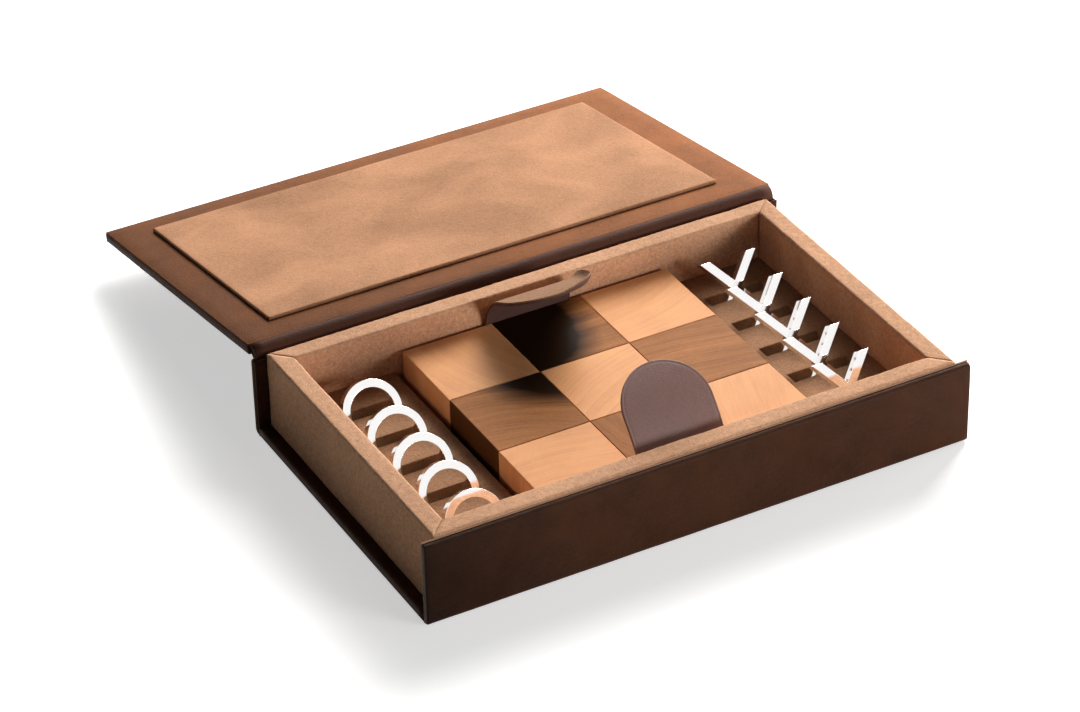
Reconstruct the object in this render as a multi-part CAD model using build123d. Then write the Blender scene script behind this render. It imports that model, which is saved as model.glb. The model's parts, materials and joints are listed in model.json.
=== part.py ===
from build123d import *
from math import cos, radians, sin, tan
import os

os.makedirs("parts", exist_ok=True)

# Leather tic-tac-toe case, shown open, in millimetres.
# The origin is the centre of the case's bottom face, +X to the right, +Y to the hinge, +Z up.

# Sheet goods
leather_thickness = 1.0
lining_thickness = 0.8
suede_thickness = 0.8

# Playing board: three rows of three solid wood blocks on a thin panel
square = 50.0
squares_across = 3
block_height = 25.0
block_chamfer = 0.4
panel_height = 3.0
panel_inset = 2.0

# Tray that holds the board and the two piece inserts
tab_gap = 2.3
insert_gap = 3.5
insert_width = 52.8
insert_height = 15.8
insert_clearance = 0.3
wall_thickness = 10.4
wall_height = 43.0
rim_radius = 1.0

# Leather-wrapped boards round the tray
front_core = 2.2
spine_core = 3.2
bottom_core = 3.0
side_overhang = 6.5
front_drop = 1.8
spine_drop = 3.3
cover_radius = 1.2

# Lid and its suede pad
lid_core = 3.7
lid_angle = 189.65
rim_gap = 0.3
hinge_gap = 5.6
hinge_inset = 1.6
hinge_rise = 1.8
lining_inset = 0.3
pad_board_thickness = 1.2
pad_side_margin = 20.3
pad_hinge_margin = 18.7
pad_far_margin = 16.4
pad_radius = 0.6

# Leather hinge between the spine and the lid
hinge_crest = 5.0
hinge_setback = 3.04
hinge_start = 92.0
hinge_clearance = 0.3

# Game pieces
pieces_per_side = 5
piece_pitch = 26.7
piece_thickness = 6.0
piece_chamfer = 0.4
piece_line = 25.2
ring_diameter = 31.5
ring_bore = 23.2
ring_lean = 32.0
cross_size = 32.5
cross_cut = 5.8
cross_lean = 33.0
cross_rise = 2.75
slot_clearance = 0.3
slot_end_clearance = 0.5
seat_gap = 0.3

# Pull tabs: each bend is a radius and an angle, and a straight end follows
tab_half_width = 23.8
tab_foot = 1.0
front_tab_x = -2.4
front_tab_bends = ((4.0, 27.0), (77.6, 33.0))
front_tab_end = 3.0
rear_tab_x = -4.4
rear_tab_bends = ((24.0, 64.0),)
rear_tab_end = 30.0

# Plan sizes
board_half = square * squares_across / 2
inner_half_x = board_half + insert_gap + insert_width + insert_clearance
inner_half_y = board_half + tab_gap
tray_half_x = inner_half_x + wall_thickness
tray_half_y = inner_half_y + wall_thickness
case_half_x = tray_half_x + side_overhang
case_half_y = tray_half_y + leather_thickness + spine_core + lining_thickness

# Heights
core_top = leather_thickness + bottom_core
floor = core_top + suede_thickness
rim = core_top + wall_height
front_height = rim - front_drop
spine_height = rim - spine_drop
insert_top = floor + insert_height
block_bottom = floor + panel_height
board_top = block_bottom + block_height
lid_bottom = rim + rim_gap
lid_thickness = lining_thickness + lid_core + leather_thickness

# Hinge axis, parallel to X
hinge_y = case_half_y - hinge_inset
hinge_z = rim + hinge_rise
hinge_axis = Axis((0, hinge_y, hinge_z), (1, 0, 0))


def save(shape, name):
    """Write one sub-part under its own name."""
    shape.label = name
    export_step(shape, f"parts/{name}.step")


def slab(x0, x1, y0, y1, z0, z1):
    """A plain block between two corners."""
    size = (x1 - x0, y1 - y0, z1 - z0)
    middle = ((x0 + x1) / 2, (y0 + y1) / 2, (z0 + z1) / 2)
    return Pos(*middle) * Box(*size)


def board_core(width, length, skin, core):
    """The stiff board inside a wrap of that width and length, standing on the wrap's inner face."""
    on_skin = (Align.CENTER, Align.CENTER, Align.MIN)
    return Pos(0, 0, skin) * Box(width - 2 * skin, length - 2 * skin, core, align=on_skin)


def board_wrap(width, length, skin, core, radius):
    """Skin over one board: its outer face at zero, rounded edges and four sides, open on the inner face."""
    outer = Box(width, length, skin + core, align=(Align.CENTER, Align.CENTER, Align.MIN))
    outer = fillet(outer.edges().filter_by(Axis.Z), radius)
    outer = fillet(outer.faces().sort_by(Axis.Z)[0].edges(), radius)
    return outer - board_core(width, length, skin, core)


def bottom_board():
    """Stiff board under the tray, and the leather round its underside and its two open ends."""
    core_half_x = case_half_x - leather_thickness
    core = slab(-core_half_x, core_half_x, -tray_half_y, tray_half_y, leather_thickness, core_top)
    wrap = slab(-case_half_x, case_half_x, -tray_half_y, tray_half_y, 0, core_top + leather_thickness)
    wrap = fillet(wrap.edges().filter_by(Axis.Y), cover_radius)
    tray_seat = slab(-tray_half_x, tray_half_x, -tray_half_y, tray_half_y, core_top, rim)
    save(core, "bottom_board")
    save(wrap - core - tray_seat, "bottom_leather")


def upright_board(name, height, stiff, side):
    """A board that stands on its edge before or behind the tray; side is -1 in front and 1 behind."""
    outer_y = side * (tray_half_y + lining_thickness + stiff + leather_thickness)
    facing = Plane(origin=(0, outer_y, height / 2), x_dir=(1, 0, 0), z_dir=(0, -side, 0))
    width = 2 * case_half_x
    core = facing * board_core(width, height, leather_thickness, stiff)
    wrap = facing * board_wrap(width, height, leather_thickness, stiff, cover_radius)
    lining_face = facing.offset(leather_thickness + stiff)
    lining = extrude(lining_face * Rectangle(width, height), lining_thickness)
    save(core, f"{name}_board")
    save(wrap, f"{name}_leather")
    save(lining, f"{name}_lining")


def wall_outline(side, inset):
    """Plan of one tray wall between two 45 degree mitres, drawn in by inset on both long sides."""
    signs = ((-1, -1), (1, -1), (1, 1), (-1, 1))
    pair = (signs[side], signs[(side + 1) % 4])
    outer = [(sx * (tray_half_x - inset), sy * (tray_half_y - inset)) for sx, sy in pair]
    inner = [(sx * (inner_half_x + inset), sy * (inner_half_y + inset)) for sx, sy in reversed(pair)]
    return Polygon(*outer, *inner, align=None)


def tray_walls():
    """Four mitred fibreboard walls, each in a suede sleeve that is open below."""
    core_height = wall_height - suede_thickness
    for side, name in enumerate(("front", "right", "rear", "left")):
        base = Plane.XY.offset(core_top)
        core = extrude(base * wall_outline(side, suede_thickness), core_height)
        sleeve = extrude(base * wall_outline(side, 0), wall_height)
        rim_edges = sleeve.faces().sort_by(Axis.Z)[-1].edges().sort_by(SortBy.LENGTH)[-2:]
        sleeve = fillet(rim_edges, rim_radius)
        save(core, f"{name}_wall")
        save(sleeve - core, f"{name}_wall_suede")


def floor_suede():
    """Suede glued over the tray's floor."""
    sheet = slab(-inner_half_x, inner_half_x, -inner_half_y, inner_half_y, core_top, floor)
    save(sheet, "floor_suede")


def lean_plane(x, y, lean, centre_z):
    """Mid-plane of a leaning piece whose plane crosses the insert's top at y."""
    centre_y = y + (centre_z - insert_top) * tan(radians(lean))
    normal = (0, -cos(radians(lean)), sin(radians(lean)))
    return Plane(origin=(x, centre_y, centre_z), x_dir=(1, 0, 0), z_dir=normal)


def ring_centre_z():
    """Height of a ring's centre when it stands on the tray's floor."""
    half_height = ring_diameter / 2 * cos(radians(ring_lean))
    return floor + seat_gap + half_height + piece_thickness / 2 * sin(radians(ring_lean))


def cross_centre_z():
    """Height of a cross's centre, a little above the insert's top."""
    return insert_top + cross_rise * cos(radians(cross_lean))


def ring():
    """Flat polished ring about its own centre."""
    band = Circle(ring_diameter / 2) - Circle(ring_bore / 2)
    solid = extrude(band, piece_thickness / 2, both=True)
    return chamfer(solid.edges().filter_by(GeomType.CIRCLE), piece_chamfer)


def cross():
    """Cross of two equal bars whose ends are cut square to the board."""
    half = cross_size / 2
    bar = Polygon((-half, half), (cross_cut - half, half), (half, -half), (half - cross_cut, -half), align=None)
    outline = bar + mirror(bar, about=Plane.YZ)
    solid = extrude(outline, piece_thickness / 2, both=True)
    faces = solid.faces().sort_by(Axis.Z)
    return chamfer(faces[0].edges() + faces[-1].edges(), piece_chamfer)


def slot(plane, width, reach):
    """Leaning slot for one piece, open at the insert's top and reach below the piece's centre."""
    top = 2 * insert_height
    body = Box(width, reach + top, piece_thickness + 2 * slot_clearance)
    return plane * Pos(0, (top - reach) / 2, 0) * body


def insert(name, side, slots):
    """Fibreboard insert with its slots, and the suede over its top and the side next to the board."""
    far = side * (inner_half_x - insert_clearance)
    near = side * (board_half + insert_gap)
    glued = near + side * suede_thickness
    half_y = inner_half_y - insert_clearance
    block = slab(min(far, near), max(far, near), -half_y, half_y, floor, insert_top)
    core = slab(min(far, glued), max(far, glued), -half_y, half_y, floor, insert_top - suede_thickness)
    save(core - slots, f"{name}_insert")
    save(block - core - slots, f"{name}_insert_suede")


def piece_places():
    """Where each slot crosses the insert's top, from the front to the hinge."""
    middle = (pieces_per_side - 1) / 2
    return [(number - middle) * piece_pitch for number in range(pieces_per_side)]


def ring_side():
    """Left insert, its through slots and the rings that stand on the floor in them."""
    x = -(board_half + insert_gap + piece_line)
    width = ring_diameter + 2 * slot_end_clearance
    planes = [lean_plane(x, y, ring_lean, ring_centre_z()) for y in piece_places()]
    insert("ring", -1, [slot(plane, width, ring_diameter) for plane in planes])
    for number, plane in enumerate(planes, 1):
        save(plane * ring(), f"ring_{number}")


def cross_side():
    """Right insert, its blind slots and the crosses that stand in them."""
    x = board_half + insert_gap + piece_line
    width = cross_size + 2 * slot_end_clearance
    reach = cross_size / 2 + seat_gap
    planes = [lean_plane(x, y, cross_lean, cross_centre_z()) for y in piece_places()]
    insert("cross", 1, [slot(plane, width, reach) for plane in planes])
    for number, plane in enumerate(planes, 1):
        save(plane * cross(), f"cross_{number}")


def playing_board():
    """Base panel and nine blocks, maple at the corners and the centre, walnut between them."""
    panel_half = board_half - panel_inset
    panel = slab(-panel_half, panel_half, -panel_half, panel_half, floor, block_bottom)
    save(panel, "base_panel")
    for row, row_name in enumerate(("front", "middle", "rear")):
        for column, column_name in enumerate(("left", "centre", "right")):
            wood = "maple" if (row + column) % 2 == 0 else "walnut"
            x = column * square - board_half
            y = row * square - board_half
            block = slab(x, x + square, y, y + square, block_bottom, board_top)
            block = chamfer(block.edges().filter_by(Plane.XY) + block.edges().filter_by(Axis.Z), block_chamfer)
            save(block, f"{wood}_{row_name}_{column_name}")


def tab_line(side, offset, bends, end):
    """Line of a tab's section in Y and Z, offset out from the face that is glued to the board."""
    y = side * (board_half + offset)
    path = [Line((y, block_bottom + tab_foot), (y, board_top))]
    for radius, angle in bends:
        path.append(JernArc(path[-1] @ 1, path[-1] % 1, radius + offset, side * angle))
    path.append(Line(path[-1] @ 1, path[-1] @ 1 + (path[-1] % 1) * end))
    return path


def tab_end(side, x, bends, end):
    """Prism that holds a tab up to its rounded end, square to the chord of that end."""
    middle = Wire(tab_line(side, suede_thickness, bends, end))
    start = middle.position_at(middle.length - tab_half_width, position_mode=PositionMode.LENGTH)
    chord = middle @ 1 - start
    square_on = Plane(origin=(x, start.X, start.Y), x_dir=(1, 0, 0), z_dir=(0, -chord.Y, chord.X))
    below = Rectangle(3 * tab_half_width, middle.length, align=(Align.CENTER, Align.MAX))
    outline = Ellipse(tab_half_width, chord.length) + below
    return extrude(square_on * outline, middle.length, both=True)


def tab_ply(side, x, near, far, bends, end):
    """One ply of a pull tab between two offsets, before its free end is rounded."""
    near_path = tab_line(side, near, bends, end)
    far_path = tab_line(side, far, bends, end)
    foot = Line(near_path[0] @ 0, far_path[0] @ 0)
    tip = Line(near_path[-1] @ 1, far_path[-1] @ 1)
    section = make_face(near_path + [tip] + far_path + [foot])
    return extrude(Plane.YZ.offset(x) * section, tab_half_width, both=True)


def pull_tab(name, side, x, bends, end):
    """Two plies glued to the board, the leather towards the player and the suede away."""
    total = leather_thickness + suede_thickness
    leather_near, leather_far = (suede_thickness, total) if side < 0 else (0, leather_thickness)
    suede_near, suede_far = (0, suede_thickness) if side < 0 else (leather_thickness, total)
    keep = tab_end(side, x, bends, end)
    save(tab_ply(side, x, leather_near, leather_far, bends, end) & keep, f"{name}_leather")
    save(tab_ply(side, x, suede_near, suede_far, bends, end) & keep, f"{name}_suede")


def opened(shape):
    """A piece of the closed lid, turned to where the lid lies open."""
    return shape.rotate(hinge_axis, -lid_angle)


def lid():
    """Lid board in its leather, with a lining and a suede pad on its inner face."""
    width = 2 * case_half_x
    length = 2 * case_half_y - hinge_gap
    top = Plane(origin=(0, -hinge_gap / 2, lid_bottom + lid_thickness), x_dir=(1, 0, 0), z_dir=(0, 0, -1))
    save(opened(top * board_core(width, length, leather_thickness, lid_core)), "lid_board")
    wrap = top * board_wrap(width, length, leather_thickness, lid_core, cover_radius)
    save(opened(wrap), "lid_leather")
    lining_sketch = Rectangle(width - 2 * lining_inset, length - 2 * lining_inset)
    lining = extrude(top.offset(leather_thickness + lid_core) * lining_sketch, lining_thickness)
    save(opened(lining), "lid_lining")


def lid_pad():
    """Thin padded board in suede, glued to the lining inside the lid."""
    front = pad_far_margin - case_half_y
    rear = case_half_y - hinge_gap - pad_hinge_margin
    width = 2 * (case_half_x - pad_side_margin)
    face_z = lid_bottom - pad_board_thickness - suede_thickness
    face = Plane.XY.offset(face_z) * Pos(0, (front + rear) / 2, 0)
    save(opened(face * board_core(width, rear - front, suede_thickness, pad_board_thickness)), "pad_board")
    wrap = board_wrap(width, rear - front, suede_thickness, pad_board_thickness, pad_radius)
    save(opened(face * wrap), "pad_suede")


def hinge_strip(section):
    """A strip of one section along the whole hinge."""
    return extrude(Plane.YZ * section, case_half_x - cover_radius, both=True)


def hinge():
    """Lining that rolls from the spine over to the lid, and the leather that joins them outside."""
    inner_corner = opened(Vertex(0, case_half_y - hinge_gap, lid_bottom)).center()
    outer_corner = opened(Vertex(0, case_half_y - hinge_gap, lid_bottom + lid_thickness)).center()
    face_y = case_half_y - hinge_setback
    back_y = face_y + lining_thickness
    centre = (face_y + hinge_crest, inner_corner.Z - hinge_crest)
    turn = 180 - hinge_start
    crest = CenterArc(centre, hinge_crest, hinge_start, turn)
    under = CenterArc(centre, hinge_crest - lining_thickness, hinge_start, turn)
    foot = Polyline(crest @ 1, (face_y, spine_height), (back_y, spine_height), under @ 1)
    save(hinge_strip(make_face([crest, under, Line(crest @ 0, under @ 0)] + foot.edges())), "hinge_lining")
    near_y = case_half_y - leather_thickness
    far_y = outer_corner.Y - hinge_clearance
    top_z = outer_corner.Z + leather_thickness
    corners = ((near_y, spine_height), (case_half_y, spine_height), (far_y, outer_corner.Z), (far_y, top_z))
    save(hinge_strip(Polygon(*corners, (near_y, top_z), align=None)), "hinge_leather")


bottom_board()
upright_board("front", front_height, front_core, -1)
upright_board("spine", spine_height, spine_core, 1)
tray_walls()
floor_suede()
ring_side()
cross_side()
playing_board()
pull_tab("front_tab", -1, front_tab_x, front_tab_bends, front_tab_end)
pull_tab("rear_tab", 1, rear_tab_x, rear_tab_bends, rear_tab_end)
lid()
lid_pad()
hinge()
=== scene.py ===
import json
import math

import bmesh
import bpy
from bpy.props import FloatProperty, FloatVectorProperty, PointerProperty
from mathutils import Matrix, Vector, noise


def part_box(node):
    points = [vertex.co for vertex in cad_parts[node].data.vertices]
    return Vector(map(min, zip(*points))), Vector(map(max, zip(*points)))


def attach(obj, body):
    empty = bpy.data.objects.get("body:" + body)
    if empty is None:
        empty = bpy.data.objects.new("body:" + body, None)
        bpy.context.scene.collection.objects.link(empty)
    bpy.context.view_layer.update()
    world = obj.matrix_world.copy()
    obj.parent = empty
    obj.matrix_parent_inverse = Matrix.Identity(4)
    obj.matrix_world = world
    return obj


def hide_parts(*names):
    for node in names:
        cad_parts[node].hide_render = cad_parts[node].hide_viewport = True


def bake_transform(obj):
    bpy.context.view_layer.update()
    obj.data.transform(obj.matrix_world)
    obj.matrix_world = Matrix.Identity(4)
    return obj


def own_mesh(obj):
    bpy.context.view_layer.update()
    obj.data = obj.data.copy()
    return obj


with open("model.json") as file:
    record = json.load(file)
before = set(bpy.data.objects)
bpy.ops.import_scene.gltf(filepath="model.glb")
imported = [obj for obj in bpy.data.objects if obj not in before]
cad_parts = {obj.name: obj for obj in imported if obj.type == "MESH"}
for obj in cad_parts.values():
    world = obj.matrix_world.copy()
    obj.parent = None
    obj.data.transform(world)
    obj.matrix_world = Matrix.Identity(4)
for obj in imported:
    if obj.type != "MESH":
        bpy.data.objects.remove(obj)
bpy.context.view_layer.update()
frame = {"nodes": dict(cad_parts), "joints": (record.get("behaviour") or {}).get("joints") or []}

bl_info = {
    "name": "Leather tic-tac-toe case",
    "version": (1, 0, 0),
    "blender": (4, 5, 0),
    "location": "View3D > Sidebar > Game case",
    "description": "Builds a leather tic-tac-toe case round its packed frame",
    "category": "Add Mesh",
}

MM = 0.001

# Where the frame puts the lid's hinge, and how far the lid is turned from closed
HINGE = next(joint for joint in frame["joints"] if joint["name"] == "lid_hinge")
LID_OPENING = (
    Matrix.Translation(HINGE["pos_m"])
    @ Matrix.Rotation(math.radians(-HINGE["range_deg"][0]), 4, Vector(HINGE["axis"]))
    @ Matrix.Translation(-Vector(HINGE["pos_m"]))
)


def srgb(red, green, blue):
    """Linear colour of a display colour given from 0 to 255."""
    def linear(value):
        share = value / 255
        return share / 12.92 if share <= 0.04045 else ((share + 0.055) / 1.055) ** 2.4
    return linear(red), linear(green), linear(blue)


class CaseColours(bpy.types.PropertyGroup):
    """Colours of the case's finishes"""

    outer_leather: FloatVectorProperty(
        name="Outer leather", description="Colour of the leather outside the case",
        default=srgb(64, 38, 24), subtype="COLOR", min=0, max=1)
    lining_leather: FloatVectorProperty(
        name="Lining leather", description="Colour of the leather inside the lid",
        default=srgb(147, 94, 60), subtype="COLOR", min=0, max=1)
    # Painted shade: the lid lining's leather, darker here for the roll turned away from the light
    hinge_lining: FloatVectorProperty(
        name="Hinge lining", description="Colour of the leather that rolls over the hinge",
        default=srgb(82, 53, 41), subtype="COLOR", min=0, max=1)
    tray_suede: FloatVectorProperty(
        name="Tray suede", description="Colour of the suede on the tray's walls",
        default=srgb(201, 154, 121), subtype="COLOR", min=0, max=1)
    insert_suede: FloatVectorProperty(
        name="Insert suede", description="Colour of the suede over the slotted inserts",
        default=srgb(160, 122, 93), subtype="COLOR", min=0, max=1)
    pad_suede: FloatVectorProperty(
        name="Pad suede", description="Colour of the suede on the lid's pad",
        default=srgb(176, 130, 98), subtype="COLOR", min=0, max=1)
    tab_leather: FloatVectorProperty(
        name="Tab leather", description="Colour of the pull tabs' smooth side",
        default=srgb(124, 91, 82), subtype="COLOR", min=0, max=1)
    maple: FloatVectorProperty(
        name="Maple", description="Colour of the pale wood blocks",
        default=srgb(230, 163, 111), subtype="COLOR", min=0, max=1)
    walnut: FloatVectorProperty(
        name="Walnut", description="Colour of the dark wood blocks",
        default=srgb(156, 101, 57), subtype="COLOR", min=0, max=1)
    greyboard: FloatVectorProperty(
        name="Greyboard", description="Colour of the boards inside the covers and the lid",
        default=srgb(150, 143, 132), subtype="COLOR", min=0, max=1)
    fibreboard: FloatVectorProperty(
        name="Fibreboard", description="Colour of the boards inside the tray",
        default=srgb(170, 134, 96), subtype="COLOR", min=0, max=1)
    insert_board: FloatVectorProperty(
        name="Insert board", description="Colour of the slotted boards under the inserts' suede",
        default=srgb(150, 112, 80), subtype="COLOR", min=0, max=1)
    metal: FloatVectorProperty(
        name="Polished metal", description="Colour of the rings and crosses",
        default=srgb(251, 249, 247), subtype="COLOR", min=0, max=1)
    floor: FloatVectorProperty(
        name="Floor", description="Colour of the pale floor",
        default=srgb(246, 245, 243), subtype="COLOR", min=0, max=1)


class CaseSizes(bpy.types.PropertyGroup):
    """Sizes of the case's soft and rounded work, over the frame's own sizes"""

    leather_thickness: FloatProperty(
        name="Leather", description="Thickness of the outer leather",
        default=1.0 * MM, unit="LENGTH")
    leather_edge: FloatProperty(
        name="Leather edge", description="Radius of the leather's outer edges",
        default=0.9 * MM, unit="LENGTH")
    top_radius: FloatProperty(
        name="Top fold", description="Radius of the leather along the top of the front and the spine",
        default=2.2 * MM, unit="LENGTH")
    foot_radius: FloatProperty(
        name="Foot fold", description="Radius of the leather along the foot of the front and the spine",
        default=3.0 * MM, unit="LENGTH")
    lining_thickness: FloatProperty(
        name="Lining", description="Thickness of the lining leather",
        default=0.8 * MM, unit="LENGTH")
    suede_thickness: FloatProperty(
        name="Suede", description="Thickness of the suede",
        default=0.8 * MM, unit="LENGTH")
    rim_radius: FloatProperty(
        name="Rim radius", description="Radius of the suede along the tray's rim",
        default=1.3 * MM, unit="LENGTH")
    pad_radius: FloatProperty(
        name="Pad radius", description="Radius round the lid pad's edge",
        default=1.1 * MM, unit="LENGTH")
    metal_edge: FloatProperty(
        name="Metal edge", description="Radius of the metal pieces' edges",
        default=0.25 * MM, unit="LENGTH")


def colours():
    return bpy.context.scene.case_colours


def sizes():
    return bpy.context.scene.case_sizes


# Node trees

def put(tree, kind, settings=None, **sockets):
    """A new node with its settings, its sockets set or linked by name."""
    node = tree.nodes.new(kind)
    for key, value in (settings or {}).items():
        setattr(node, key, value)
    for key, value in sockets.items():
        socket = node.inputs[key.replace("_", " ")]
        if isinstance(value, bpy.types.NodeSocket):
            tree.links.new(value, socket)
        else:
            socket.default_value = value
    return node


def finish(name, **sockets):
    """A new material with one Principled shader, its tree and that shader.

    The frame already has a plain material for each of its slots, so a shared name gets an ending.
    """
    material = bpy.data.materials.new(name)
    if material.name != name:
        material.name = f"{name}_finish"
    material.use_nodes = True
    shader = material.node_tree.nodes["Principled BSDF"]
    for key, value in sockets.items():
        shader.inputs[key.replace("_", " ")].default_value = value
    return material, material.node_tree, shader


def place(tree, scale=(1, 1, 1), turn=(0, 0, 0), shift=(0, 0, 0)):
    """Object coordinates, moved, turned and scaled."""
    coordinates = put(tree, "ShaderNodeTexCoord")
    mapping = put(tree, "ShaderNodeMapping", Vector=coordinates.outputs["Object"])
    mapping.inputs["Location"].default_value = shift
    mapping.inputs["Rotation"].default_value = turn
    mapping.inputs["Scale"].default_value = scale
    return mapping.outputs["Vector"]


def stretch(tree, vector, scale):
    """Coordinates drawn out or pressed together along each axis."""
    mapping = put(tree, "ShaderNodeMapping", Vector=vector)
    mapping.inputs["Scale"].default_value = scale
    return mapping.outputs["Vector"]


def cloud(tree, vector, scale, detail=3.0, roughness=0.5, distortion=0.0):
    """Noise between 0 and 1."""
    node = put(tree, "ShaderNodeTexNoise", Vector=vector, Scale=scale, Detail=detail,
               Roughness=roughness, Distortion=distortion)
    return node.outputs["Fac"]


def ramp(tree, factor, *stops):
    """Colours by position: each stop is a position and a colour."""
    node = put(tree, "ShaderNodeValToRGB", Fac=factor)
    line = node.color_ramp
    while len(line.elements) < len(stops):
        line.elements.new(0.5)
    for element, (position, colour) in zip(line.elements, stops):
        element.position = position
        element.color = (*colour, 1) if len(colour) == 3 else colour
    return node.outputs["Color"]


def remap(tree, value, low, high, to_low, to_high):
    """One range of numbers moved to another."""
    node = put(tree, "ShaderNodeMapRange", Value=value)
    for key, number in (("From Min", low), ("From Max", high), ("To Min", to_low), ("To Max", to_high)):
        node.inputs[key].default_value = number
    return node.outputs["Result"]


def combine(tree, operation, first, second):
    """Arithmetic on two numbers."""
    node = tree.nodes.new("ShaderNodeMath")
    node.operation = operation
    for socket, value in zip(node.inputs, (first, second)):
        if isinstance(value, bpy.types.NodeSocket):
            tree.links.new(value, socket)
        else:
            socket.default_value = value
    return node.outputs["Value"]


def bump(tree, shader, height, strength, distance):
    """Height into the shader's normal."""
    node = put(tree, "ShaderNodeBump", Height=height, Strength=strength, Distance=distance)
    tree.links.new(node.outputs["Normal"], shader.inputs["Normal"])


def shade(colour, factor):
    """A colour made darker or lighter by one factor."""
    return tuple(min(1.0, channel * factor) for channel in colour)


# Finishes

def swing(tree, *parts):
    """A half, moved by each noise's swing about a half times its share."""
    total = 0.5
    for value, share in parts:
        moved = combine(tree, "MULTIPLY", combine(tree, "SUBTRACT", value, 0.5), share)
        total = combine(tree, "ADD", moved, total)
    return total


def tint(tree, factor, colour, depth=0.8):
    """A colour made darker where the factor is under a half and lighter where it is over."""
    return ramp(tree, factor, (0.0, shade(colour, 1 - depth)), (0.5, colour), (1.0, shade(colour, 1 + depth)))


def mixed(tree, share, colour, tone):
    """A plain colour where the share is 0, going over to a tone where it is 1."""
    mix = put(tree, "ShaderNodeMix", {"data_type": "RGBA"}, Factor=share)
    mix.inputs[6].default_value = (*colour, 1)
    tree.links.new(tone, mix.inputs[7])
    return mix.outputs[2]


def ridge(tree, value, sharpness):
    """Thin lines where a noise crosses its own middle."""
    fold = combine(tree, "ABSOLUTE", combine(tree, "SUBTRACT", value, 0.5), 0.0)
    return remap(tree, fold, 0.0, sharpness, 1.0, 0.0)


def suede(name, colour, clouds=0.3, nap=0.65):
    """Brushed suede: short standing nap over broad soft clouds, with a little sheen."""
    material, tree, shader = finish(name, Roughness=0.95, Sheen_Weight=0.05, Sheen_Roughness=0.5)
    shader.inputs["Specular IOR Level"].default_value = 0.05
    shader.inputs["Sheen Tint"].default_value = (*shade(colour, 1.3), 1)
    where = place(tree)
    fibre = cloud(tree, where, 1300, 2, 0.7)
    tuft = cloud(tree, where, 480, 2, 0.6)
    broad = cloud(tree, where, 18, 3, 0.5, 0.5)
    tone = tint(tree, swing(tree, (fibre, nap), (tuft, 0.6 * nap), (broad, clouds)), colour)
    tree.links.new(tone, shader.inputs["Base Color"])
    bump(tree, shader, combine(tree, "ADD", fibre, tuft), 0.6, 0.3 * MM)
    return material


def leather(name, colour, roughness=0.45, gloss=0.12, creases=0.5, clouds=0.5, cell=1.1 * MM,
            bloom=0.0, painted_shade_along_x=None):
    """Smooth leather: pebbled cells, patches of thin creases, a cloudy dye and a soft bloom of wax.

    bloom is the sheen's weight. The last argument paints shade: it darkens the colour along X
    between two places, with the share of the colour that is left at each.
    """
    material, tree, shader = finish(name, Roughness=roughness, Sheen_Weight=bloom, Sheen_Roughness=0.3)
    shader.inputs["Specular IOR Level"].default_value = gloss
    where = place(tree)
    cells = put(tree, "ShaderNodeTexVoronoi", {"feature": "DISTANCE_TO_EDGE"},
                Vector=where, Scale=1 / cell, Randomness=1.0)
    pebble = remap(tree, cells.outputs["Distance"], 0.0, 0.25, 0.0, 1.0)
    vein = cloud(tree, place(tree, (0.8, 0.8, 1.7)), 300, 3, 0.6, 1.6)
    patch = remap(tree, cloud(tree, where, 30, 2), 0.42, 0.62, 0.0, 1.0)
    crease = combine(tree, "MULTIPLY", ridge(tree, vein, 0.05), patch)
    blotch = cloud(tree, where, 42, 4, 0.6, 0.4)
    fine = cloud(tree, where, 700, 2, 0.6)
    dye = swing(tree, (blotch, clouds), (fine, 0.25))
    dye = combine(tree, "SUBTRACT", dye, combine(tree, "MULTIPLY", crease, 0.1 * creases))
    tone = tint(tree, dye, colour)
    # Painted shade: the colour darkened towards black along X
    if painted_shade_along_x:
        west, east, least, most = painted_shade_along_x
        across = put(tree, "ShaderNodeSeparateXYZ", Vector=where).outputs["X"]
        tone = mixed(tree, remap(tree, across, west, east, least, most), (0, 0, 0), tone)
    tree.links.new(tone, shader.inputs["Base Color"])
    worn = remap(tree, blotch, 0.3, 0.7, roughness - 0.06, roughness + 0.08)
    tree.links.new(worn, shader.inputs["Roughness"])
    height = combine(tree, "MULTIPLY", pebble, 0.35)
    height = combine(tree, "ADD", height, combine(tree, "MULTIPLY", fine, 0.3))
    height = combine(tree, "SUBTRACT", height, combine(tree, "MULTIPLY", crease, creases))
    bump(tree, shader, height, 0.5, 0.3 * MM)
    return material


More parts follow.
